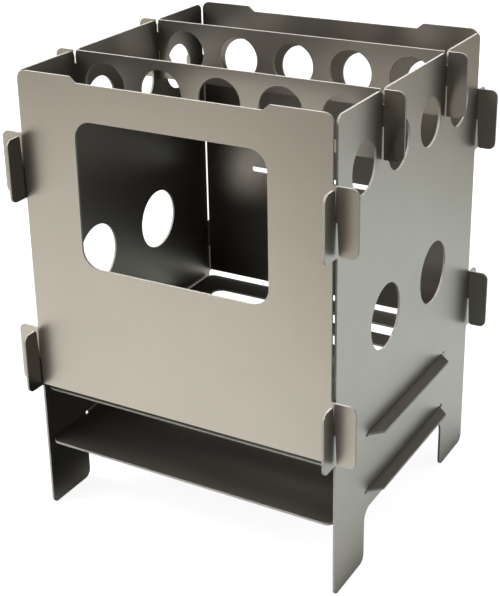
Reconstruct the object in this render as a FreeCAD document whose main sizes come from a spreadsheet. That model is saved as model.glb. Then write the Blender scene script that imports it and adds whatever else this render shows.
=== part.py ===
import FreeCAD
import Part
import Sketcher
import math
import os

# Portable fire pit: eight flat sheets of one thickness that plug together without fasteners.
# The two side panels carry everything: they stand on their own legs, the fire grate and the ash
# tray plug into them with tabs, the front and back panels hook down over them at the corners, and
# the two pot supports drop into notches in their top edges.
# Frame: +X to the right along the front, +Y to the back, +Z up, origin on the ground at the middle.
# Lengths are in millimetres.

SIZES = {
    # Sheet, and the hooked corners where two walls lap
    "sheet_thickness": 0.8,
    "wall_spacing": 117.0,
    "edge_gap": 0.35,
    "seat_gap": 0.1,
    "ear_reach": 7.8,
    "ear_height": 22.3,
    "ear_corner_radius": 2.5,
    "ear_root_radius": 1.0,
    "lap_depth": 10.8,
    "lap_play": 0.3,
    "lap_flare": 0.6,
    "lap_mouth_radius": 1.0,
    "wall_corner_radius": 3.0,
    # Side panels: legs, and the ears' places below the top edge and above the grate
    "side_height": 167.3,
    "leg_width": 22.9,
    "arch_height": 20.3,
    "arch_radius": 4.5,
    "foot_outer_radius": 2.5,
    "foot_inner_radius": 3.0,
    "ear_drop": 21.9,
    "ear_rise": 1.1,
    # Rows of round air holes, below the top edge and above the grate
    "hole_margin": 8.0,
    "vent_diameter": 17.4,
    "vent_pitch": 26.3,
    "vent_drop": 21.3,
    "draught_diameter": 23.2,
    "draught_pitch": 41.0,
    "draught_rise": 38.2,
    # Front and back panels: the raised ends of the top edge, the window and the long slot
    "horn_width": 21.0,
    "dip_depth": 2.0,
    "dip_step": 2.5,
    "dip_radius": 1.0,
    "window_side": 22.0,
    "window_drop": 14.5,
    "window_height": 51.7,
    "window_radius": 6.5,
    "back_slot_side": 21.5,
    "back_slot_drop": 66.2,
    "back_slot_height": 2.1,
    "back_slot_radius": 0.7,
    # Pot supports and their notches, with a shallow slot above each deep one for a raised seat
    "support_spacing": 52.4,
    "support_height": 22.7,
    "support_lap": 10.8,
    "support_slot_play": 0.7,
    "support_slot_flare": 0.15,
    "raised_lap": 4.8,
    "notch_depth": 12.0,
    "notch_play": 0.6,
    "notch_lip_radius": 2.5,
    "support_hole_diameter": 16.2,
    "support_hole_pitch": 23.0,
    "support_hole_margin": 3.5,
    # Fire grate and ash tray, stacked above the arch between the legs
    "arch_web": 6.3,
    "plate_spacing": 22.3,
    "plate_gap": 0.8,
    "plate_corner_radius": 3.0,
    "tab_length": 57.0,
    "tab_reach": 4.8,
    "tab_corner_radius": 0.6,
    "tab_slot_gap": 0.6,
    "tab_slot_play": 1.3,
    "tab_slot_radius": 0.5,
    "bar_width": 9.0,
    "bar_slot_width": 7.9,
    "bar_end_rim": 10.3,
    "bar_side_rim": 9.0,
}

WORKED_OUT = {
    "half_sheet": "sheet_thickness / 2",
    "wall_middle": "wall_spacing / 2",
    "wall_edge": "wall_middle - half_sheet - edge_gap",
    "ear_end": "wall_middle + ear_reach",
    "lap_end": "wall_middle + half_sheet + lap_play",
    "lap_mouth": "lap_end + lap_flare",
    # Fire grate and ash tray: heights of their undersides and of their slots
    "tray_slot_floor": "arch_height + arch_web",
    "tray_level": "tray_slot_floor + seat_gap",
    "tab_slot_height": "sheet_thickness + tab_slot_gap",
    "tray_slot_top": "tray_slot_floor + tab_slot_height",
    "grate_slot_floor": "tray_slot_floor + plate_spacing",
    "grate_slot_top": "grate_slot_floor + tab_slot_height",
    "grate_level": "grate_slot_floor + seat_gap",
    "grate_top": "grate_level + sheet_thickness",
    "plate_edge": "wall_middle - half_sheet - plate_gap",
    "tab_end": "wall_middle + tab_reach",
    "tab_tip": "tab_length / 2",
    "tab_root": "tab_tip + tab_end - plate_edge",
    "tab_slot_half": "tab_tip + tab_reach + half_sheet + tab_slot_play",
    "bar_pitch": "bar_slot_width + bar_width",
    "bar_slot_count": "floor((2 * (plate_edge - bar_side_rim) + bar_width) / bar_pitch)",
    "bar_slot_span": "(bar_slot_count - 1) * bar_pitch",
    "bar_slot_start": "bar_slot_span / 2",
    "bar_slot_round": "bar_slot_width / 2",
    "bar_slot_centre": "plate_edge - bar_end_rim - bar_slot_round",
    # Side panels: their lap slots open upwards
    "leg_inner": "wall_edge - leg_width",
    "side_low_ear_base": "grate_top + ear_rise",
    "side_low_ear_top": "side_low_ear_base + ear_height",
    "side_low_lap": "side_low_ear_top - lap_depth",
    "side_high_ear_top": "side_height - ear_drop",
    "side_high_ear_base": "side_high_ear_top - ear_height",
    "side_high_lap": "side_high_ear_top - lap_depth",
    # Front and back panels: their lap slots open downwards and hang in the side panels' slots
    "lap_rise": "ear_height - 2 * lap_depth + seat_gap",
    "wall_base": "side_low_ear_base + lap_rise",
    "wall_low_ear_top": "wall_base + ear_height",
    "wall_low_lap": "wall_base + lap_depth",
    "wall_high_ear_base": "side_high_ear_base + lap_rise",
    "wall_high_ear_top": "wall_high_ear_base + ear_height",
    "wall_high_lap": "wall_high_ear_base + lap_depth",
    "wall_top": "side_height + lap_rise",
    "dip_level": "wall_top - dip_depth",
    "dip_outer": "wall_edge - horn_width",
    "dip_inner": "dip_outer - dip_step",
    "window_half": "wall_edge - window_side",
    "window_top": "wall_top - window_drop",
    "window_base": "window_top - window_height",
    "back_slot_half": "wall_edge - back_slot_side",
    "back_slot_top": "wall_top - back_slot_drop",
    "back_slot_base": "back_slot_top - back_slot_height",
    # Rows of round holes, as many as fit
    "vent_level": "side_height - vent_drop",
    "vent_count": "floor((2 * (wall_edge - hole_margin) - vent_diameter) / vent_pitch) + 1",
    "vent_span": "(vent_count - 1) * vent_pitch",
    "vent_start": "vent_span / 2",
    "draught_level": "grate_top + draught_rise",
    "draught_count": "floor((2 * (wall_edge - hole_margin) - draught_diameter) / draught_pitch) + 1",
    "draught_span": "(draught_count - 1) * draught_pitch",
    "draught_start": "draught_span / 2",
    # Pot supports, which half lap with the side panels' top edges
    "support_middle": "support_spacing / 2",
    "notch_half": "(sheet_thickness + notch_play) / 2",
    "notch_inner": "support_middle - notch_half",
    "notch_outer": "support_middle + notch_half",
    "notch_floor": "side_height - notch_depth",
    "support_lap_level": "notch_floor + seat_gap",
    "support_base": "support_lap_level - support_lap",
    "support_top": "support_base + support_height",
    "raised_lap_level": "support_top - raised_lap",
    "support_slot_half": "(sheet_thickness + support_slot_play) / 2",
    "support_slot_inner": "wall_middle - support_slot_half",
    "support_slot_outer": "wall_middle + support_slot_half",
    "support_mouth_inner": "support_slot_inner - support_slot_flare",
    "support_mouth_outer": "support_slot_outer + support_slot_flare",
    "support_hole_level": "support_base + support_height / 2",
    "support_hole_room": "2 * (wall_edge - support_hole_margin) - support_hole_diameter",
    "support_hole_count": "floor(support_hole_room / support_hole_pitch) + 1",
    "support_hole_span": "(support_hole_count - 1) * support_hole_pitch",
    "support_hole_start": "support_hole_span / 2",
}

POSITION_TOLERANCE = 1e-4

document = FreeCAD.newDocument("portable_fire_pit")
sheet = document.addObject("Spreadsheet::Sheet", "Sizes")


def fill_sheet():
    """Write the driving sizes as plain numbers, then the places that follow from them as formulas."""
    cells = {name: str(value) for name, value in SIZES.items()}
    cells.update({name: "=" + formula for name, formula in WORKED_OUT.items()})
    for row, (name, content) in enumerate(cells.items(), start=1):
        sheet.set(f"A{row}", name)
        sheet.set(f"B{row}", content)
        sheet.setAlias(f"B{row}", name)
    document.recompute()


def size(name):
    """Value of a named size or place; a leading minus sign puts it on the other side."""
    if name.startswith("-"):
        return -float(getattr(sheet, name[1:]))
    return float(getattr(sheet, name))


def bind(sketch, constraint, name):
    """Add a constraint and tie its value to the sheet."""
    index = sketch.addConstraint(constraint)
    sketch.setExpression(f"Constraints[{index}]", f"Sizes.{name}")


def hold(sketch, kind, geometry, end, name):
    """Hold one end of a line, or a centre, at a named distance from the sketch's origin."""
    value = abs(size(name))
    if name.startswith("-"):
        bind(sketch, Sketcher.Constraint(kind, geometry, end, -1, 1, value), name[1:])
    else:
        bind(sketch, Sketcher.Constraint(kind, -1, 1, geometry, end, value), name)


def place(sketch, geometry, end, across, up):
    """Hold a point at its two coordinates; an up of None lies on the sketch's level axis."""
    hold(sketch, "DistanceX", geometry, end, across)
    if up is None:
        sketch.addConstraint(Sketcher.Constraint("PointOnObject", geometry, end, -1))
    else:
        hold(sketch, "DistanceY", geometry, end, up)


def new_body(label):
    """One sub-part."""
    body = document.addObject("PartDesign::Body", label)
    body.Label = label
    return body


def new_sketch(body, name, plane):
    """A sketch on one of the body's own origin planes, which is the middle of its sheet."""
    support = next(feature for feature in body.Origin.OriginFeatures if feature.Role == plane)
    sketch = body.newObject("Sketcher::SketchObject", f"{body.Name}_{name}")
    sketch.AttachmentSupport = (support, [""])
    sketch.MapMode = "FlatFace"
    return sketch


def point(across, up):
    """Sketch point from two names."""
    return FreeCAD.Vector(size(across), size(up) if up else 0.0, 0.0)


def symmetric_outline(sketch, corners):
    """Closed straight outline, symmetric left to right, from its right-hand corners in order."""
    right = [point(across, up) for across, up in corners]
    left = [FreeCAD.Vector(-corner.x, corner.y, 0.0) for corner in reversed(right)]
    ring = right + left
    count = len(ring)
    for line in range(count):
        sketch.addGeometry(Part.LineSegment(ring[line], ring[(line + 1) % count]))
    for line in range(count):
        sketch.addConstraint(Sketcher.Constraint("Coincident", line, 2, (line + 1) % count, 1))
    for line, (across, up) in enumerate(corners):
        place(sketch, line, 1, across, up)
        sketch.addConstraint(Sketcher.Constraint("Symmetric", line, 1, count - 1 - line, 1, -2))


def cut_sheet(body, plane, corners):
    """The flat blank: an outline given one sheet thickness, half to each side of its plane."""
    sketch = new_sketch(body, "outline", plane)
    symmetric_outline(sketch, corners)
    blank = body.newObject("PartDesign::Pad", f"{body.Name}_blank")
    blank.Profile = sketch
    blank.SideType = "Symmetric"
    blank.setExpression("Length", "Sizes.sheet_thickness")
    document.recompute()
    return blank


def cut_through(body, name, sketch):
    """Cut a sketch right through the sheet."""
    before = body.Tip.Shape.Volume
    cut = body.newObject("PartDesign::Pocket", f"{body.Name}_{name}")
    cut.Profile = sketch
    cut.SideType = "Symmetric"
    cut.Type = "ThroughAll"
    document.recompute()
    if cut.Shape.Volume >= before:
        raise RuntimeError(f"{cut.Name} cuts nothing")
    return cut


def round_corners(body, name, plane, corners, radius):
    """Round the sheet's corners at the given places and at their twins on the left."""
    flat = {"XY_Plane": (0, 1), "XZ_Plane": (0, 2), "YZ_Plane": (1, 2)}[plane]
    base = body.Tip
    wanted = []
    for across, up in corners:
        corner = point(across, up)
        wanted += [(corner.x, corner.y), (-corner.x, corner.y)]
    edges = []
    for number, edge in enumerate(base.Shape.Edges, start=1):
        ends = [(vertex.Point[flat[0]], vertex.Point[flat[1]]) for vertex in edge.Vertexes]
        for corner in wanted:
            if all(abs(end[axis] - corner[axis]) < POSITION_TOLERANCE for end in ends for axis in (0, 1)):
                edges.append(f"Edge{number}")
    if len(edges) != len(set(wanted)):
        raise RuntimeError(f"{body.Name}_{name}: {len(edges)} corners found of {len(set(wanted))}")
    rounding = body.newObject("PartDesign::Fillet", f"{body.Name}_{name}")
    rounding.Base = (base, edges)
    rounding.setExpression("Radius", f"Sizes.{radius}")
    document.recompute()


def repeat(body, name, cut, axis, span, count):
    """Repeat a cut evenly along one of its sketch's axes."""
    row = body.newObject("PartDesign::LinearPattern", f"{body.Name}_{name}_row")
    row.Originals = [cut]
    row.Direction = (cut.Profile[0], [axis])
    row.setExpression("Length", f"Sizes.{span}")
    row.setExpression("Occurrences", f"Sizes.{count}")
    body.Tip = row
    document.recompute()


def hole_row(body, name, plane, diameter, start, level, span, count):
    """A level row of round holes, centred on the sheet."""
    sketch = new_sketch(body, name, plane)
    centre = point("-" + start, level)
    sketch.addGeometry(Part.Circle(centre, FreeCAD.Vector(0, 0, 1), size(diameter) / 2))
    bind(sketch, Sketcher.Constraint("Diameter", 0, size(diameter)), diameter)
    place(sketch, 0, 3, "-" + start, level)
    repeat(body, name, cut_through(body, name + "_hole", sketch), "H_Axis", span, count)


def rounded_window(body, name, plane, half_width, base, top, radius):
    """A rectangular opening with rounded corners."""
    corners = [(half_width, base), (half_width, top)]
    sketch = new_sketch(body, name, plane)
    symmetric_outline(sketch, corners)
    cut_through(body, name + "_cut", sketch)
    round_corners(body, name + "_corners", plane, corners, radius)


def hooked_wall(label):
    """Front or back panel: two hooks down each edge, and a top edge that dips between its ends."""
    body = new_body(label)
    hooks = []
    for base, lap, top in (
        ("wall_base", "wall_low_lap", "wall_low_ear_top"),
        ("wall_high_ear_base", "wall_high_lap", "wall_high_ear_top"),
    ):
        hooks += [("wall_edge", lap), ("lap_end", lap), ("lap_mouth", base)]
        hooks += [("ear_end", base), ("ear_end", top), ("wall_edge", top)]
    corners = [("wall_edge", "wall_base")] + hooks
    corners += [("wall_edge", "wall_top"), ("dip_outer", "wall_top"), ("dip_inner", "dip_level")]
    cut_sheet(body, "XZ_Plane", corners)
    ear_tops = ("wall_low_ear_top", "wall_high_ear_top")
    ear_bases = ("wall_base", "wall_high_ear_base")
    ear_corners = [("ear_end", level) for level in ear_tops + ear_bases]
    round_corners(body, "ear_corners", "XZ_Plane", ear_corners, "ear_corner_radius")
    roots = [("wall_edge", top) for top in ear_tops]
    round_corners(body, "ear_roots", "XZ_Plane", roots, "ear_root_radius")
    mouths = [("lap_mouth", base) for base in ear_bases]
    round_corners(body, "lap_mouths", "XZ_Plane", mouths, "lap_mouth_radius")
    round_corners(body, "top_corners", "XZ_Plane", [("wall_edge", "wall_top")], "wall_corner_radius")
    dip_corners = [("dip_outer", "wall_top"), ("dip_inner", "dip_level")]
    round_corners(body, "dip_corners", "XZ_Plane", dip_corners, "dip_radius")
    return body


def front_panel():
    """Front panel: a hooked wall with the window that wood is fed through."""
    body = hooked_wall("front_panel")
    rounded_window(body, "window", "XZ_Plane", "window_half", "window_base", "window_top", "window_radius")
    body.setExpression("Placement.Base.y", "-Sizes.wall_middle")


def back_panel():
    """Back panel: a hooked wall with a row of air holes and one long level slot."""
    body = hooked_wall("back_panel")
    rounded_window(
        body, "slot", "XZ_Plane", "back_slot_half", "back_slot_base", "back_slot_top", "back_slot_radius"
    )
    hole_row(
        body, "vents", "XZ_Plane", "vent_diameter", "vent_start", "vent_level", "vent_span", "vent_count"
    )
    body.setExpression("Placement.Base.y", "Sizes.wall_middle")


def side_panel(label, side):
    """Side panel on two legs: hooks open upwards, notches in its top edge, and slots for the two tabs."""
    body = new_body(label)
    corners = [("leg_inner", "arch_height"), ("leg_inner", None), ("wall_edge", None)]
    for base, lap, top in (
        ("side_low_ear_base", "side_low_lap", "side_low_ear_top"),
        ("side_high_ear_base", "side_high_lap", "side_high_ear_top"),
    ):
        corners += [("wall_edge", base), ("ear_end", base), ("ear_end", top)]
        corners += [("lap_mouth", top), ("lap_end", lap), ("wall_edge", lap)]
    corners += [("wall_edge", "side_height"), ("notch_outer", "side_height"), ("notch_outer", "notch_floor")]
    corners += [("notch_inner", "notch_floor"), ("notch_inner", "side_height")]
    cut_sheet(body, "YZ_Plane", corners)
    ear_tops = ("side_low_ear_top", "side_high_ear_top")
    ear_bases = ("side_low_ear_base", "side_high_ear_base")
    ear_corners = [("ear_end", level) for level in ear_tops + ear_bases]
    round_corners(body, "ear_corners", "YZ_Plane", ear_corners, "ear_corner_radius")
    roots = [("wall_edge", base) for base in ear_bases]
    round_corners(body, "ear_roots", "YZ_Plane", roots, "ear_root_radius")
    mouths = [("lap_mouth", top) for top in ear_tops]
    round_corners(body, "lap_mouths", "YZ_Plane", mouths, "lap_mouth_radius")
    round_corners(body, "top_corners", "YZ_Plane", [("wall_edge", "side_height")], "wall_corner_radius")
    lips = [("notch_outer", "side_height"), ("notch_inner", "side_height")]
    round_corners(body, "notch_lips", "YZ_Plane", lips, "notch_lip_radius")
    round_corners(body, "arch_corners", "YZ_Plane", [("leg_inner", "arch_height")], "arch_radius")
    round_corners(body, "foot_outsides", "YZ_Plane", [("wall_edge", None)], "foot_outer_radius")
    round_corners(body, "foot_insides", "YZ_Plane", [("leg_inner", None)], "foot_inner_radius")
    hole_row(
        body, "vents", "YZ_Plane", "vent_diameter", "vent_start", "vent_level", "vent_span", "vent_count"
    )
    hole_row(
        body, "draught", "YZ_Plane", "draught_diameter", "draught_start", "draught_level", "draught_span",
        "draught_count",
    )
    for plate in ("grate", "tray"):
        rounded_window(
            body, f"{plate}_slot", "YZ_Plane", "tab_slot_half", f"{plate}_slot_floor", f"{plate}_slot_top",
            "tab_slot_radius",
        )
    body.setExpression("Placement.Base.x", f"{side}Sizes.wall_middle")


def pot_support(label, side):
    """Pot support: a pierced strip slotted over the side panels, deep below and shallow above."""
    body = new_body(label)
    deep_slot = [("support_mouth_inner", "support_base"), ("support_slot_inner", "support_lap_level")]
    deep_slot += [("support_slot_outer", "support_lap_level"), ("support_mouth_outer", "support_base")]
    end_corners = [("ear_end", "support_base"), ("ear_end", "support_top")]
    shallow_slot = [("support_slot_outer", "support_top"), ("support_slot_outer", "raised_lap_level")]
    shallow_slot += [("support_slot_inner", "raised_lap_level"), ("support_slot_inner", "support_top")]
    cut_sheet(body, "XZ_Plane", deep_slot + end_corners + shallow_slot)
    round_corners(body, "end_corners", "XZ_Plane", end_corners, "ear_corner_radius")
    hole_row(
        body, "holes", "XZ_Plane", "support_hole_diameter", "support_hole_start", "support_hole_level",
        "support_hole_span", "support_hole_count",
    )
    body.setExpression("Placement.Base.y", f"{side}Sizes.support_middle")


def tabbed_plate(label, level):
    """A level plate with a long bevelled tab on each side, which plugs into the side panels."""
    body = new_body(label)
    plate_corners = [("plate_edge", "-plate_edge"), ("plate_edge", "plate_edge")]
    tab_corners = [("tab_end", "-tab_tip"), ("tab_end", "tab_tip")]
    outline = [plate_corners[0], ("plate_edge", "-tab_root")] + tab_corners
    outline += [("plate_edge", "tab_root"), plate_corners[1]]
    cut_sheet(body, "XY_Plane", outline)
    round_corners(body, "plate_corners", "XY_Plane", plate_corners, "plate_corner_radius")
    round_corners(body, "tab_corners", "XY_Plane", tab_corners, "tab_corner_radius")
    body.setExpression("Placement.Base.z", f"Sizes.{level} + Sizes.half_sheet")
    return body


def round_ended_slot(sketch, centre, level, radius):
    """A level slot with full round ends, centred left to right."""
    reach = size(centre)
    height = size(level)
    bend = size(radius)
    upright = FreeCAD.Vector(0, 0, 1)
    lower = [FreeCAD.Vector(side * reach, height - bend, 0) for side in (-1, 1)]
    upper = [FreeCAD.Vector(side * reach, height + bend, 0) for side in (1, -1)]
    right = Part.Circle(FreeCAD.Vector(reach, height, 0), upright, bend)
    left = Part.Circle(FreeCAD.Vector(-reach, height, 0), upright, bend)
    sketch.addGeometry(Part.LineSegment(*lower))
    sketch.addGeometry(Part.ArcOfCircle(right, -math.pi / 2, math.pi / 2))
    sketch.addGeometry(Part.LineSegment(*upper))
    sketch.addGeometry(Part.ArcOfCircle(left, math.pi / 2, 3 * math.pi / 2))
    for piece in range(4):
        sketch.addConstraint(Sketcher.Constraint("Tangent", piece, 2, (piece + 1) % 4, 1))
    sketch.addConstraint(Sketcher.Constraint("Horizontal", 0))
    sketch.addConstraint(Sketcher.Constraint("Equal", 1, 3))
    bind(sketch, Sketcher.Constraint("Radius", 1, bend), radius)
    place(sketch, 1, 3, centre, level)
    hold(sketch, "DistanceX", 3, 3, "-" + centre)


def fire_grate():
    """Fire grate: a tabbed plate with round-ended slots between its bars, for ash and air."""
    body = tabbed_plate("fire_grate", "grate_level")
    sketch = new_sketch(body, "bar_slot", "XY_Plane")
    round_ended_slot(sketch, "bar_slot_centre", "-bar_slot_start", "bar_slot_round")
    slot = cut_through(body, "bar_slot_cut", sketch)
    repeat(body, "bar_slot", slot, "V_Axis", "bar_slot_span", "bar_slot_count")


def ash_tray():
    """Ash tray: the plain tabbed plate under the grate."""
    tabbed_plate("ash_tray", "tray_level")


def check_document():
    """Stop if any feature failed, or a sub-part isn't one sound solid."""
    for item in document.Objects:
        if "Invalid" in item.State or "Error" in item.State:
            raise RuntimeError(f"{item.Name} failed: {item.State}")
    for body in document.findObjects("PartDesign::Body"):
        if body.Shape.isNull() or not body.Shape.isValid() or len(body.Shape.Solids) != 1:
            raise RuntimeError(f"{body.Label} isn't one sound solid")


def write_parts():
    """Write each sub-part to its own file, named after its label."""
    os.makedirs("parts", exist_ok=True)
    for body in document.findObjects("PartDesign::Body"):
        body.Shape.exportStep(f"parts/{body.Label}.step")
        print(body.Label, round(body.Shape.Volume, 1), "cubic millimetres")


fill_sheet()
side_panel("left_side_panel", "-")
side_panel("right_side_panel", "")
fire_grate()
ash_tray()
front_panel()
back_panel()
pot_support("front_pot_support", "-")
pot_support("rear_pot_support", "")
document.recompute()
check_document()
write_parts()
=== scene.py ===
import math

import bpy
from bpy.props import FloatProperty, FloatVectorProperty, IntProperty, PointerProperty
from bpy.types import Operator, Panel, PropertyGroup
from mathutils import Matrix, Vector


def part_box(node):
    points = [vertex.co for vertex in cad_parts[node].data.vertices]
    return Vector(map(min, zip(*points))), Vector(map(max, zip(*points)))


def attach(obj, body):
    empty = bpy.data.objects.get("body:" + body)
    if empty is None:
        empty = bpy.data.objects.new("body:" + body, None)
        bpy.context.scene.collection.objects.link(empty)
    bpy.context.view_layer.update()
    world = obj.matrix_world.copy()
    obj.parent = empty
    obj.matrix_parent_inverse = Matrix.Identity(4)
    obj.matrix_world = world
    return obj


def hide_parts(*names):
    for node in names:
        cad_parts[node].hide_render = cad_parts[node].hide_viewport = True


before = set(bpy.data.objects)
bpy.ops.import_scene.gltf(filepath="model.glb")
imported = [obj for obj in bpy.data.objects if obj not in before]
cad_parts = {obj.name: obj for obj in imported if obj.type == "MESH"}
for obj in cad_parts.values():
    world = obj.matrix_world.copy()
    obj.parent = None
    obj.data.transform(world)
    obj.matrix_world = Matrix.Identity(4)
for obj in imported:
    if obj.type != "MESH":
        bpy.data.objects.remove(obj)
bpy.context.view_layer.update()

bl_info = {
    "name": "Portable Fire Pit",
    "version": (1, 0, 0),
    "blender": (4, 5, 0),
    "location": "View3D > Sidebar > Fire Pit",
    "description": "Finishes the sheets of a plug-together fire pit and sets its stage",
    "category": "Object",
}

# Names of the node groups, the finishes and the length marked along a cut
EASED_SHEET = "Eased sheet"
BLASTED_GRAIN = "Blasted grain"
SOFT_CLOUDS = "Soft clouds"
SHEET_FINISH = "blasted_sheet"
EDGE_FINISH = "cut_edge"
CUT_RUN = "cut_run"

# Pieces that are made alike
SIDE_PANELS = ("left_side_panel", "right_side_panel")
WALL_PANELS = ("front_panel", "back_panel")
POT_SUPPORTS = ("front_pot_support", "rear_pot_support")
LEVEL_PLATES = ("fire_grate", "ash_tray")

# Points of the cut lines closer together than this are one point
SAME_PLACE = 1e-7
SAME_PLACE_DIGITS = 7

# Share of a sheet's thickness on each side of its middle, and the flat faces' inset in ease radii
HALF = 0.5
FACE_INSET = -2.0

# A face whose normal leans further from the sheet's than this belongs to the cut edge
FACE_LEAN = 0.98

# Turns of the surface that stay sharp, and how far a large flat face sets the shading at its edges
SHARP_TURN = math.radians(35.0)
FLAT_FACES_FIRST = 100

# Noise of the dimples, of the flecks that catch light, of the clouds and of the lines across a cut
DIMPLE_NOISE = {"Detail": 2.0, "Roughness": 0.6}
FLECK_NOISE = {"Detail": 3.0, "Roughness": 0.7}
CLOUD_NOISE = {"Detail": 4.0, "Roughness": 0.55, "Distortion": 0.4}
CUT_NOISE = {"Scale": 1.0, "Detail": 2.0}

# Fineness of the flecks beside the dimples, and the noise over which flecks and clouds rise
FLECK_FINENESS = 0.35
FLECK_RISE = (0.35, 0.65)
CLOUD_RISE = (0.3, 0.7)

# What flecks do to the colour and roughness of the sheet and to the roughness of the cut edge
FLECK_LIGHT = 1.015
SHEET_ROUGHNESS_SWING = 0.015
EDGE_ROUGHNESS_SWING = 0.05

# Colour of the cut edge between its fine lines, and the share of the sheet that mirrors as bare metal
CUT_SHADE = 0.93
BARE = 1.0

# Sockets of a mix node that takes colours
MIX_FIRST = 6
MIX_SECOND = 7
MIX_RESULT = 2

# Plain colours, directions and turns
WHITE = (1.0, 1.0, 1.0)
BLACK = (0.0, 0.0, 0.0)
ACROSS = (1.0, 0.0, 0.0)
UP = (0.0, 0.0, 1.0)
QUARTER_TURN = math.pi / 2

# Parts of the room rise from none to full over these leans towards their sides
CEILING_BLEND = (0.45, 0.75)
DIM_END = (0.85, -0.53, 0.0)
DIM_END_BLEND = (0.2, 0.7)
SCREEN_BLEND = (0.65, 0.92)
REFLECTOR_BLEND = (0.85, 0.97)
SOFTBOX_BLEND = (0.9, 0.97)

# Side on which the metal shows a cooler floor, and the distances over which it changes
COOL_SIDE = (0.8, 0.6, 0.0)
COOL_BLEND = (-0.12, 0.12)

# Distances from the middle over which the floor comes out of a painted shadow under the object
UNDER_BLEND = (0.045, 0.075)

# Dim patches of the floor in front and behind: the side of each, the distances towards that side over
# which it rises, and the distances across, from none to full, at which it ends
FRONT_PATCH = ((0.8, -0.6, 0.0), (0.10, 0.19), (0.15, 0.06))
BACK_PATCH = ((-0.8, 0.6, 0.0), (0.05, 0.11), (-0.12, -0.05))

# Share to which the room and the floor are dimmed for each further reflection between the sheets: painted
# shade between the sheets
INNER_SHADE = 0.17


def colour_setting(name, description, default):
    """A colour that can be changed."""
    return FloatVectorProperty(
        name=name, description=description, subtype="COLOR", default=default, min=0.0, max=1.0
    )


def direction_setting(name, description, default):
    """A direction that can be changed."""
    return FloatVectorProperty(name=name, description=description, subtype="DIRECTION", default=default)


def length_setting(name, description, default):
    """A length that can be changed, in metres."""
    return FloatProperty(name=name, description=description, unit="LENGTH", default=default)


def factor_setting(name, description, default):
    """A share that can be changed."""
    return FloatProperty(name=name, description=description, subtype="FACTOR", default=default)


def angle_setting(name, description, degrees):
    """An angle that can be changed."""
    return FloatProperty(name=name, description=description, unit="ROTATION", default=math.radians(degrees))


class SheetSettings(PropertyGroup):
    """Blasted sheet and its cut edge"""

    sheet_colour: colour_setting("Sheet colour", "Main colour of the blasted sheet", (0.65, 0.613, 0.543))
    cloud_colour: colour_setting(
        "Cloud colour", "Colour of the faint, cloudy patches of the blasted sheet", (0.63, 0.596, 0.53)
    )
    sheet_roughness: factor_setting("Sheet roughness", "Roughness of the blasted sheet", 0.38)
    edge_colour: colour_setting("Edge colour", "Colour of the bright cut edge", (0.95, 0.935, 0.895))
    edge_roughness: factor_setting("Edge roughness", "Roughness of the cut edge", 0.80)
    edge_metal: factor_setting(
        "Edge metal", "Share of the cut edge that mirrors as bare metal; the rest is matt", 0.5
    )
    ease_radius: length_setting("Ease radius", "Radius that takes the sharpness off the cut edge", 0.00006)
    ease_steps: IntProperty(name="Ease steps", description="Steps round the eased edge", default=3, min=1)
    grain_size: length_setting("Grain size", "Size of the dimples left by blasting", 0.00032)
    grain_depth: length_setting("Grain depth", "Depth of the dimples left by blasting", 0.000004)
    cloud_size: length_setting("Cloud size", "Size of the cloudy patches", 0.03)
    cut_pitch: length_setting("Cut pitch", "Spacing of the fine lines across the cut edge", 0.00018)
    cut_depth: length_setting("Cut depth", "Depth of the fine lines across the cut edge", 0.0000015)


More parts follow.
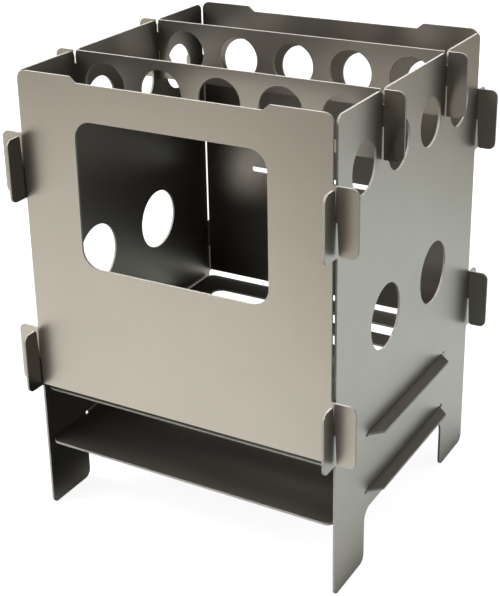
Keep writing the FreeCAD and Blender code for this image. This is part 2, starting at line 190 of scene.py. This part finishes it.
class StageSettings(PropertyGroup):
    """Floor, light and camera"""

    floor_colour: colour_setting(
        "Floor colour", "Pale floor that takes the object's shadow", (0.40, 0.40, 0.40)
    )
    floor_glow: colour_setting(
        "Floor glow", "What the camera sees of the floor, besides its lit colour", (0.91, 0.91, 0.91)
    )
    floor_warm: colour_setting(
        "Floor warm", "What the metal shows of the floor on the left and in front", (0.95, 0.931, 0.888)
    )
    floor_cool: colour_setting(
        "Floor cool", "What the metal shows of the floor on the right and at the back", (0.64, 0.70, 0.706)
    )
    floor_reach: length_setting("Floor reach", "How far the floor goes to each side", 3.0)
    shade_reach: length_setting("Shade reach", "How far the object shades the floor in the metal", 0.07)
    dim_near: length_setting(
        "Dim from", "Distance from the middle at which the floor begins to dim in the metal", 0.45
    )
    dim_far: length_setting(
        "Dim at", "Distance from the middle at which the floor is dim in the metal", 0.95
    )
    room_colour: colour_setting("Room colour", "Light of the room's walls", (0.25, 0.26, 0.26))
    ceiling_colour: colour_setting("Ceiling colour", "Light of the ceiling", (0.90, 0.88, 0.855))
    dim_colour: colour_setting(
        "Dim colour",
        "Light of the room's dim end, in front on the right, and of the dim floor in the metal",
        (0.24, 0.203, 0.158),
    )
    screen_colour: colour_setting(
        "Screen colour", "Light of the bright screen behind the object, on the right", (1.0, 1.0, 0.98)
    )
    screen_strength: FloatProperty(
        name="Screen strength", description="How much brighter than white the screen is", default=2.15
    )
    screen_side: direction_setting(
        "Screen side", "Direction of the bright screen from the object", (0.447, 0.793, 0.415)
    )
    reflector_colour: colour_setting(
        "Reflector colour", "Slightly warm light of the reflector in front, on the left", (1.0, 0.98, 0.935)
    )
    reflector_strength: FloatProperty(
        name="Reflector strength", description="How much brighter than white the reflector is", default=2.0
    )
    reflector_side: direction_setting(
        "Reflector side", "Direction of the reflector from the object", (-0.45, -0.68, 0.58)
    )
    softbox_colour: colour_setting(
        "Softbox colour", "Slightly warm light of the softbox overhead, on the left", (1.0, 0.97, 0.93)
    )
    softbox_strength: FloatProperty(
        name="Softbox strength", description="How much brighter than white the softbox is", default=7.5
    )
    softbox_side: direction_setting(
        "Softbox side", "Direction of the softbox from the object", (-0.6, -0.25, 0.76)
    )
    camera_aim: FloatVectorProperty(
        name="Camera aim",
        description="Point on the camera's axis",
        subtype="XYZ",
        unit="LENGTH",
        default=(-0.01145, -0.00126, 0.09576),
    )
    camera_distance: length_setting("Camera distance", "From the aim to the camera", 0.48138)
    camera_azimuth: angle_setting("Camera azimuth", "To the right of the front", 30.748)
    camera_elevation: angle_setting("Camera elevation", "Above the level", 22.058)
    camera_roll: angle_setting("Camera roll", "About its own axis", -1.354)
    camera_lens: FloatProperty(
        name="Camera lens", description="Focal length", subtype="DISTANCE_CAMERA", default=79.22
    )
    camera_sensor: FloatProperty(
        name="Camera sensor", description="Height of the sensor", subtype="DISTANCE_CAMERA", default=36.0
    )
    camera_shift: FloatVectorProperty(
        name="Camera shift", description="Shift of the frame across and up", size=2, default=(0.0308, -0.099)
    )


def feed(tree, sockets, given):
    """Give sockets other nodes' outputs, or plain values."""
    for name, source in given.items():
        if isinstance(source, bpy.types.NodeSocket):
            tree.links.new(source, sockets[name])
        else:
            sockets[name].default_value = source


def add_node(tree, kind, given=None, **settings):
    """Add a node with its settings, and with what its inputs are given."""
    node = tree.nodes.new(kind)
    for name, setting in settings.items():
        setattr(node, name, setting)
    feed(tree, node.inputs, given or {})
    return node


def new_group(name, kind, inputs, outputs):
    """A node group with named sockets: its tree, what it is given and what it makes."""
    tree = bpy.data.node_groups.new(name, kind)
    for direction, sockets in (("INPUT", inputs), ("OUTPUT", outputs)):
        for socket, socket_kind in sockets.items():
            tree.interface.new_socket(socket, in_out=direction, socket_type=socket_kind)
    given = tree.nodes.new("NodeGroupInput").outputs
    made = tree.nodes.new("NodeGroupOutput").inputs
    return tree, given, made


def compute(tree, operation, first, second):
    """A sum on two values, each an output or a plain number."""
    return add_node(tree, "ShaderNodeMath", {0: first, 1: second}, operation=operation).outputs[0]


def smooth_step(tree, source, low, high):
    """A mask that runs smoothly from 0 at the low value to 1 at the high one."""
    given = {"Value": source, "From Min": low, "From Max": high}
    node = add_node(tree, "ShaderNodeMapRange", given, interpolation_type="SMOOTHSTEP")
    return node.outputs["Result"]


def swing(tree, factor, middle, reach):
    """A value that runs with a mask from above its middle to below it."""
    given = {"Value": factor, "To Min": middle + reach, "To Max": middle - reach}
    return add_node(tree, "ShaderNodeMapRange", given).outputs["Result"]


def opaque(colour):
    """A plain colour with its alpha, or an output that gives one as it is."""
    if isinstance(colour, bpy.types.NodeSocket):
        return colour
    return (*colour, 1.0)


def colour_mix(tree, factor, first, second):
    """Two colours, or the outputs that give them, mixed by a mask."""
    given = {"Factor": factor, MIX_FIRST: opaque(first), MIX_SECOND: opaque(second)}
    return add_node(tree, "ShaderNodeMix", given, data_type="RGBA").outputs[MIX_RESULT]


def brightened(colour, strength):
    """A colour with all its parts multiplied."""
    return [part * strength for part in colour]


def edge_section(tree, upper, lower, inset, ease, steps):
    """Section of the cut edge: square across the sheet's thickness, with both corners eased."""
    corners = ((inset, upper), (0.0, upper), (0.0, lower), (inset, lower))
    points = {}
    for number, (across, up) in enumerate(corners, start=1):
        point = add_node(tree, "ShaderNodeCombineXYZ", {"X": across, "Y": up})
        points[f"Point {number}"] = point.outputs[0]
    section = add_node(tree, "GeometryNodeCurvePrimitiveQuadrilateral", points, mode="POINTS")
    opened = add_node(tree, "GeometryNodeSetSplineCyclic", {0: section.outputs[0], "Cyclic": False})
    corner = {"Curve": opened.outputs[0], "Radius": ease, "Count": steps}
    return add_node(tree, "GeometryNodeFilletCurve", corner, mode="POLY").outputs[0]


def measured_lines(tree, lines):
    """The cut lines, marked with the length run along them."""
    upright = add_node(tree, "GeometryNodeSetCurveNormal", {"Curve": lines}, mode="Z_UP")
    run = tree.nodes.new("GeometryNodeSplineParameter").outputs["Length"]
    given = {"Geometry": upright.outputs[0], "Name": CUT_RUN, "Value": run}
    marked = add_node(tree, "GeometryNodeStoreNamedAttribute", given, data_type="FLOAT", domain="POINT")
    return marked.outputs[0]


def sheet_face(tree, lines, inset, level, turned):
    """One face of the sheet: the cut lines drawn in by the eased edge, filled, at its level."""
    normal = tree.nodes.new("GeometryNodeInputNormal").outputs["Normal"]
    drawn_in = add_node(tree, "ShaderNodeVectorMath", {0: normal, "Scale": inset}, operation="SCALE")
    moved = add_node(tree, "GeometryNodeSetPosition", {"Geometry": lines, "Offset": drawn_in.outputs[0]})
    filled = add_node(tree, "GeometryNodeFillCurve", {"Curve": moved.outputs[0]}, mode="TRIANGLES")
    height = add_node(tree, "ShaderNodeCombineXYZ", {"Z": level})
    placing = {"Geometry": filled.outputs[0], "Translation": height.outputs[0]}
    raised = add_node(tree, "GeometryNodeTransform", placing)
    shading = {"Geometry": raised.outputs[0], "Shade Smooth": False}
    flat = add_node(tree, "GeometryNodeSetShadeSmooth", shading).outputs[0]
    if turned:
        return add_node(tree, "GeometryNodeFlipFaces", {"Mesh": flat}).outputs[0]
    return flat


def finished_sheet(tree, sheet, face_material, edge_material):
    """A sheet with one finish on its faces and another on its cut edge."""
    normal = tree.nodes.new("GeometryNodeInputNormal").outputs["True Normal"]
    parts = add_node(tree, "ShaderNodeSeparateXYZ", {0: normal})
    lean = add_node(tree, "ShaderNodeMath", {0: parts.outputs["Z"]}, operation="ABSOLUTE")
    limit = {0: lean.outputs[0], 1: FACE_LEAN}
    leans = add_node(tree, "FunctionNodeCompare", limit, data_type="FLOAT", operation="LESS_THAN")
    faces = add_node(tree, "GeometryNodeSetMaterial", {"Geometry": sheet, "Material": face_material})
    edge = {"Geometry": faces.outputs[0], "Selection": leans.outputs[0], "Material": edge_material}
    return add_node(tree, "GeometryNodeSetMaterial", edge).outputs[0]


def eased_sheet_group():
    """Turns a sheet's cut lines into the sheet: an eased edge swept along them, and a face on each side."""
    tree, given, made = new_group(
        EASED_SHEET,
        "GeometryNodeTree",
        {
            "Cut lines": "NodeSocketGeometry",
            "Thickness": "NodeSocketFloat",
            "Ease radius": "NodeSocketFloat",
            "Ease steps": "NodeSocketInt",
            "Sheet finish": "NodeSocketMaterial",
            "Edge finish": "NodeSocketMaterial",
        },
        {"Sheet": "NodeSocketGeometry"},
    )
    upper = compute(tree, "MULTIPLY", given["Thickness"], HALF)
    lower = compute(tree, "MULTIPLY", given["Thickness"], -HALF)
    inset = compute(tree, "MULTIPLY", given["Ease radius"], FACE_INSET)
    section = edge_section(tree, upper, lower, inset, given["Ease radius"], given["Ease steps"])
    lines = measured_lines(tree, given["Cut lines"])
    swept = add_node(tree, "GeometryNodeCurveToMesh", {"Curve": lines, "Profile Curve": section})
    shading = {"Geometry": swept.outputs[0], "Shade Smooth": True}
    edge = add_node(tree, "GeometryNodeSetShadeSmooth", shading)
    joined = tree.nodes.new("GeometryNodeJoinGeometry")
    tree.links.new(edge.outputs[0], joined.inputs[0])
    tree.links.new(sheet_face(tree, lines, inset, upper, False), joined.inputs[0])
    tree.links.new(sheet_face(tree, lines, inset, lower, True), joined.inputs[0])
    weld = {"Geometry": joined.outputs[0], "Distance": SAME_PLACE}
    welded = add_node(tree, "GeometryNodeMergeByDistance", weld)
    real = add_node(tree, "GeometryNodeRealizeInstances", {"Geometry": welded.outputs[0]})
    sheet = finished_sheet(tree, real.outputs[0], given["Sheet finish"], given["Edge finish"])
    feed(tree, made, {"Sheet": sheet})


def blasted_grain_group():
    """Dimples of a blasted surface: a height for bump and a mask of the flecks that catch light."""
    outputs = {"Height": "NodeSocketFloat", "Fleck": "NodeSocketFloat"}
    tree, given, made = new_group(BLASTED_GRAIN, "ShaderNodeTree", {"Size": "NodeSocketFloat"}, outputs)
    place = tree.nodes.new("ShaderNodeTexCoord").outputs["Object"]
    finer = compute(tree, "DIVIDE", 1.0, given["Size"])
    coarser = compute(tree, "MULTIPLY", finer, FLECK_FINENESS)
    dimples = add_node(tree, "ShaderNodeTexNoise", {"Vector": place, "Scale": finer, **DIMPLE_NOISE})
    flecks = add_node(tree, "ShaderNodeTexNoise", {"Vector": place, "Scale": coarser, **FLECK_NOISE})
    fleck = smooth_step(tree, flecks.outputs["Fac"], *FLECK_RISE)
    feed(tree, made, {"Height": dimples.outputs["Fac"], "Fleck": fleck})


def soft_clouds_group():
    """Faint cloudy patches, as blasting leaves them over a whole sheet."""
    outputs = {"Cloud": "NodeSocketFloat"}
    tree, given, made = new_group(SOFT_CLOUDS, "ShaderNodeTree", {"Size": "NodeSocketFloat"}, outputs)
    place = tree.nodes.new("ShaderNodeTexCoord").outputs["Object"]
    finer = compute(tree, "DIVIDE", 1.0, given["Size"])
    clouds = add_node(tree, "ShaderNodeTexNoise", {"Vector": place, "Scale": finer, **CLOUD_NOISE})
    feed(tree, made, {"Cloud": smooth_step(tree, clouds.outputs["Fac"], *CLOUD_RISE)})


def place_group(tree, name, size):
    """Put a shared effect into a material, at its own size, and give what it makes."""
    node = tree.nodes.new("ShaderNodeGroup")
    node.node_tree = bpy.data.node_groups[name]
    feed(tree, node.inputs, {"Size": size})
    return node.outputs


def new_material(name):
    """A material, its node tree and the inputs of its shader."""
    material = bpy.data.materials.new(name)
    material.use_nodes = True
    tree = material.node_tree
    return material, tree, tree.nodes["Principled BSDF"].inputs


def sheet_finish(look):
    """Blasted titanium sheet: satin, with fine dimples and faint cloudy patches."""
    material, tree, shader = new_material(SHEET_FINISH)
    material.diffuse_color = opaque(look.sheet_colour)
    grain = place_group(tree, BLASTED_GRAIN, look.grain_size)
    clouds = place_group(tree, SOFT_CLOUDS, look.cloud_size)
    lit_fleck = brightened(look.sheet_colour, FLECK_LIGHT)
    speckled = colour_mix(tree, grain["Fleck"], look.sheet_colour, lit_fleck)
    colour = colour_mix(tree, clouds["Cloud"], speckled, look.cloud_colour)
    rough = swing(tree, grain["Fleck"], look.sheet_roughness, SHEET_ROUGHNESS_SWING)
    relief = {"Strength": 1.0, "Distance": look.grain_depth, "Height": grain["Height"]}
    bump = add_node(tree, "ShaderNodeBump", relief).outputs["Normal"]
    feed(tree, shader, {"Base Color": colour, "Metallic": BARE, "Roughness": rough, "Normal": bump})


def edge_finish(look):
    """Bright cut edge, with the fine lines that the cut leaves across the sheet's thickness."""
    material, tree, shader = new_material(EDGE_FINISH)
    material.diffuse_color = opaque(look.edge_colour)
    run = add_node(tree, "ShaderNodeAttribute", attribute_name=CUT_RUN).outputs["Fac"]
    pitches = compute(tree, "MULTIPLY", run, 1.0 / look.cut_pitch)
    cut = {"W": pitches, **CUT_NOISE}
    lines = add_node(tree, "ShaderNodeTexNoise", cut, noise_dimensions="1D").outputs["Fac"]
    grain = place_group(tree, BLASTED_GRAIN, look.grain_size)
    shaded = brightened(look.edge_colour, CUT_SHADE)
    colour = colour_mix(tree, lines, shaded, look.edge_colour)
    rough = swing(tree, grain["Fleck"], look.edge_roughness, EDGE_ROUGHNESS_SWING)
    relief = {"Strength": 1.0, "Distance": look.cut_depth, "Height": lines}
    bump = add_node(tree, "ShaderNodeBump", relief).outputs["Normal"]
    metal = look.edge_metal
    feed(tree, shader, {"Base Color": colour, "Metallic": metal, "Roughness": rough, "Normal": bump})


def flat_axes(node):
    """Axis through a sheet's thickness, and the two across it in right-hand order."""
    low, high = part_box(node)
    extents = list(high - low)
    through = extents.index(min(extents))
    return through, (through + 1) % len(extents), (through + 2) % len(extents)


def cut_lines(node):
    """Outline and holes of a sheet, from its solid's face, each as a loop with the sheet on its left."""
    through, across, up = flat_axes(node)
    face_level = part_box(node)[1][through]
    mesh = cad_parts[node].data
    runs = set()
    for triangle in mesh.polygons:
        corners = [mesh.vertices[index].co for index in triangle.vertices]
        if max(abs(corner[through] - face_level) for corner in corners) > SAME_PLACE:
            continue
        points = [
            (round(corner[across], SAME_PLACE_DIGITS), round(corner[up], SAME_PLACE_DIGITS))
            for corner in corners
        ]
        runs.update(zip(points, points[1:] + points[:1]))
    following = {start: end for start, end in runs if (end, start) not in runs}
    loops = []
    while following:
        start, point = following.popitem()
        loop = [start]
        while point != start:
            loop.append(point)
            point = following.pop(point)
        loops.append(loop)
    return loops


def cut_blank(node):
    """The cut lines of a sheet as one curve, flat at the origin."""
    curve = bpy.data.curves.new(f"{node}_lines", "CURVE")
    curve.dimensions = "3D"
    for loop in cut_lines(node):
        spline = curve.splines.new("POLY")
        spline.points.add(len(loop) - 1)
        for point, (across, up) in zip(spline.points, loop):
            point.co = (across, up, 0.0, 1.0)
        spline.use_cyclic_u = True
    blank = bpy.data.objects.new(curve.name, curve)
    bpy.context.scene.collection.objects.link(blank)
    return blank


def standing_place(node):
    """Where a sheet that was made flat at the origin stands in the object."""
    low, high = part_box(node)
    through, across, up = flat_axes(node)
    place = Matrix.Identity(4)
    for column, axis in enumerate((across, up, through)):
        place.col[column] = Matrix.Identity(4).col[axis]
    place.translation[through] = (low[through] + high[through]) / 2
    return place


def eased_mesh(node):
    """Mesh of one sheet with its finishes, made from its cut lines, in its place."""
    look = bpy.context.scene.fire_pit_sheet
    low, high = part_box(node)
    values = {
        "Thickness": min(high - low),
        "Ease radius": look.ease_radius,
        "Ease steps": look.ease_steps,
        "Sheet finish": bpy.data.materials[SHEET_FINISH],
        "Edge finish": bpy.data.materials[EDGE_FINISH],
    }
    blank = cut_blank(node)
    lines = blank.data
    tree = bpy.data.node_groups[EASED_SHEET]
    modifier = blank.modifiers.new(EASED_SHEET, "NODES")
    modifier.node_group = tree
    for name, value in values.items():
        modifier[tree.interface.items_tree[name].identifier] = value
    graph = bpy.context.evaluated_depsgraph_get()
    made = blank.evaluated_get(graph)
    mesh = bpy.data.meshes.new_from_object(made, preserve_all_data_layers=True, depsgraph=graph)
    mesh.transform(standing_place(node))
    mesh.set_sharp_from_angle(angle=SHARP_TURN)
    bpy.data.objects.remove(blank)
    bpy.data.curves.remove(lines)
    return mesh


def make_sheet(node, body):
    """Make one sheet, let it ride on its body and let it stand for its solid."""
    piece = bpy.data.objects.new(f"{node}_sheet", eased_mesh(node))
    bpy.context.scene.collection.objects.link(piece)
    even = piece.modifiers.new("Even shading", "WEIGHTED_NORMAL")
    even.keep_sharp = True
    even.weight = FLAT_FACES_FIRST
    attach(piece, body)
    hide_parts(node)


class FIREPIT_OT_finishes(Operator):
    """Make the finishes of the blasted sheet and its cut edge, and the group that makes a sheet"""

    bl_idname = "firepit.finishes"
    bl_label = "Finishes"

    def execute(self, context):
        look = context.scene.fire_pit_sheet
        blasted_grain_group()
        soft_clouds_group()
        sheet_finish(look)
        edge_finish(look)
        eased_sheet_group()
        return {"FINISHED"}


class FIREPIT_OT_side_panels(Operator):
    """Make the two side panels that stand on their own legs"""

    bl_idname = "firepit.side_panels"
    bl_label = "Side Panels"

    def execute(self, context):
        for node in SIDE_PANELS:
            make_sheet(node, "stand")
        return {"FINISHED"}


class FIREPIT_OT_wall_panels(Operator):
    """Make the front and back panels that hook over the side panels"""

    bl_idname = "firepit.wall_panels"
    bl_label = "Front and Back Panels"

    def execute(self, context):
        for node in WALL_PANELS:
            make_sheet(node, node)
        return {"FINISHED"}


class FIREPIT_OT_pot_supports(Operator):
    """Make the two pierced strips that a pot stands on"""

    bl_idname = "firepit.pot_supports"
    bl_label = "Pot Supports"

    def execute(self, context):
        for node in POT_SUPPORTS:
            make_sheet(node, node)
        return {"FINISHED"}


class FIREPIT_OT_level_plates(Operator):
    """Make the fire grate and the ash tray"""

    bl_idname = "firepit.level_plates"
    bl_label = "Grate and Tray"

    def execute(self, context):
        for node in LEVEL_PLATES:
            make_sheet(node, "stand")
        return {"FINISHED"}


def towards(tree, place, side, blend):
    """A mask that rises with how far a place or direction lies towards a side."""
    reach = add_node(tree, "ShaderNodeVectorMath", {0: place, 1: side}, operation="DOT_PRODUCT")
    return smooth_step(tree, reach.outputs["Value"], *blend)


def dimmed(tree, colour, share):
    """A colour multiplied by a share."""
    return add_node(tree, "ShaderNodeVectorMath", {0: colour, "Scale": share}, operation="SCALE").outputs[0]


def inner_shade(tree, ray):
    """Share of the light that is left for the second and later reflections between the sheets: painted shade
    between the sheets.
    """
    further = compute(tree, "SUBTRACT", ray["Ray Depth"], 1.0)
    return compute(tree, "POWER", INNER_SHADE, further)


def clear_of_painted_shadow(tree, place):
    """A mask that rises from a painted shadow on the floor under the object to the floor beside it."""
    sizes = add_node(tree, "ShaderNodeVectorMath", {0: place}, operation="ABSOLUTE")
    parts = add_node(tree, "ShaderNodeSeparateXYZ", {0: sizes.outputs[0]}).outputs
    return smooth_step(tree, compute(tree, "MAXIMUM", parts["X"], parts["Y"]), *UNDER_BLEND)


def floor_in_metal(stage, tree, ray):
    """What the metal shows of the floor: warm or cool, with painted shade far off, in patches, near the
    object and under it.
    """
    place = tree.nodes.new("ShaderNodeTexCoord").outputs["Object"]
    away = add_node(tree, "ShaderNodeVectorMath", {0: place}, operation="LENGTH").outputs["Value"]
    dim = smooth_step(tree, away, stage.dim_near, stage.dim_far)
    for side, rise, end in (FRONT_PATCH, BACK_PATCH):
        beyond = towards(tree, place, side, rise)
        within = towards(tree, place, ACROSS, end)
        dim = compute(tree, "MAXIMUM", dim, compute(tree, "MULTIPLY", beyond, within))
    cool = towards(tree, place, COOL_SIDE, COOL_BLEND)
    shown = colour_mix(tree, cool, stage.floor_warm, stage.floor_cool)
    shown = colour_mix(tree, dim, shown, stage.dim_colour)
    # Painted shade on the floor that the metal shows: where the object hides the sky, under the object, and
    # after further reflections between the sheets
    open_sky = add_node(tree, "ShaderNodeAmbientOcclusion", {"Distance": stage.shade_reach})
    for share in (open_sky.outputs["AO"], clear_of_painted_shadow(tree, place), inner_shade(tree, ray)):
        shown = dimmed(tree, shown, share)
    return shown


def floor_finish(stage):
    """Pale floor that looks white to the camera and keeps the object's shadow."""
    material, tree, shader = new_material("pale_floor")
    ray = tree.nodes.new("ShaderNodeLightPath").outputs
    to_camera = ray["Is Camera Ray"]
    seen = colour_mix(tree, to_camera, floor_in_metal(stage, tree, ray), stage.floor_glow)
    mirrored = compute(tree, "MAXIMUM", ray["Is Glossy Ray"], ray["Is Transmission Ray"])
    shown = compute(tree, "MAXIMUM", to_camera, mirrored)
    lit = colour_mix(tree, to_camera, BLACK, stage.floor_colour)
    feed(tree, shader, {"Base Color": lit, "Roughness": 1.0, "Specular IOR Level": 0.0})
    feed(tree, shader, {"Emission Color": seen, "Emission Strength": shown})
    return material


def lay_floor(stage):
    """Pale floor under the object."""
    reach = stage.floor_reach
    corners = ((-reach, -reach, 0.0), (reach, -reach, 0.0), (reach, reach, 0.0), (-reach, reach, 0.0))
    mesh = bpy.data.meshes.new("floor")
    mesh.from_pydata(corners, [], [(0, 1, 2, 3)])
    mesh.materials.append(floor_finish(stage))
    floor = bpy.data.objects.new("floor", mesh)
    bpy.context.scene.collection.objects.link(floor)


def light_room(stage):
    """Room with a pale ceiling, a dim end, a screen, a reflector and a softbox; the camera sees white."""
    world = bpy.data.worlds.new("room")
    world.use_nodes = True
    bpy.context.scene.world = world
    tree = world.node_tree
    direction = tree.nodes.new("ShaderNodeTexCoord").outputs["Generated"]
    ray = tree.nodes.new("ShaderNodeLightPath").outputs
    screen = brightened(stage.screen_colour, stage.screen_strength)
    reflector = brightened(stage.reflector_colour, stage.reflector_strength)
    softbox = brightened(stage.softbox_colour, stage.softbox_strength)
    parts = (
        (UP, CEILING_BLEND, stage.ceiling_colour),
        (DIM_END, DIM_END_BLEND, stage.dim_colour),
        (stage.screen_side, SCREEN_BLEND, screen),
        (stage.reflector_side, REFLECTOR_BLEND, reflector),
        (stage.softbox_side, SOFTBOX_BLEND, softbox),
    )
    room = stage.room_colour
    for side, blend, colour in parts:
        room = colour_mix(tree, towards(tree, direction, side, blend), room, colour)
    room = dimmed(tree, room, inner_shade(tree, ray))
    seen = colour_mix(tree, ray["Is Camera Ray"], room, WHITE)
    feed(tree, tree.nodes["Background"].inputs, {"Color": seen})


def set_camera(stage):
    """Camera at the photograph's place."""
    data = bpy.data.cameras.new("camera")
    data.sensor_fit = "VERTICAL"
    data.sensor_height = stage.camera_sensor
    data.lens = stage.camera_lens
    data.shift_x, data.shift_y = stage.camera_shift
    camera = bpy.data.objects.new("camera", data)
    turn = Matrix.Rotation(stage.camera_azimuth, 4, "Z")
    tilt = Matrix.Rotation(QUARTER_TURN - stage.camera_elevation, 4, "X")
    roll = Matrix.Rotation(stage.camera_roll, 4, "Z")
    back = Matrix.Translation((0.0, 0.0, stage.camera_distance))
    camera.matrix_world = Matrix.Translation(stage.camera_aim) @ turn @ tilt @ back @ roll
    bpy.context.scene.collection.objects.link(camera)
    bpy.context.scene.camera = camera


class FIREPIT_OT_stage(Operator):
    """Lay the floor, light the room and place the camera"""

    bl_idname = "firepit.stage"
    bl_label = "Stage"

    def execute(self, context):
        stage = context.scene.fire_pit_stage
        context.scene.view_settings.view_transform = "Standard"
        lay_floor(stage)
        light_room(stage)
        set_camera(stage)
        return {"FINISHED"}


class FIREPIT_PT_sidebar(Panel):
    """Lists the steps, with their settings"""

    bl_idname = "FIREPIT_PT_sidebar"
    bl_label = "Fire Pit"
    bl_space_type = "VIEW_3D"
    bl_region_type = "UI"
    bl_category = "Fire Pit"

    def draw(self, context):
        layout = self.layout
        for settings in (context.scene.fire_pit_sheet, context.scene.fire_pit_stage):
            for name in settings.__annotations__:
                layout.prop(settings, name)
        for step in STEPS:
            layout.operator(step.bl_idname)


STEPS = (
    FIREPIT_OT_finishes,
    FIREPIT_OT_side_panels,
    FIREPIT_OT_wall_panels,
    FIREPIT_OT_pot_supports,
    FIREPIT_OT_level_plates,
    FIREPIT_OT_stage,
)
CLASSES = (SheetSettings, StageSettings, *STEPS, FIREPIT_PT_sidebar)


def register():
    for cls in CLASSES:
        bpy.utils.register_class(cls)
    bpy.types.Scene.fire_pit_sheet = PointerProperty(type=SheetSettings)
    bpy.types.Scene.fire_pit_stage = PointerProperty(type=StageSettings)


def unregister():
    del bpy.types.Scene.fire_pit_stage
    del bpy.types.Scene.fire_pit_sheet
    for cls in reversed(CLASSES):
        bpy.utils.unregister_class(cls)


def main():
    """Run every step in order."""
    register()
    bpy.ops.firepit.finishes()
    bpy.ops.firepit.side_panels()
    bpy.ops.firepit.wall_panels()
    bpy.ops.firepit.pot_supports()
    bpy.ops.firepit.level_plates()
    bpy.ops.firepit.stage()


if __name__ == "__main__":
    main()
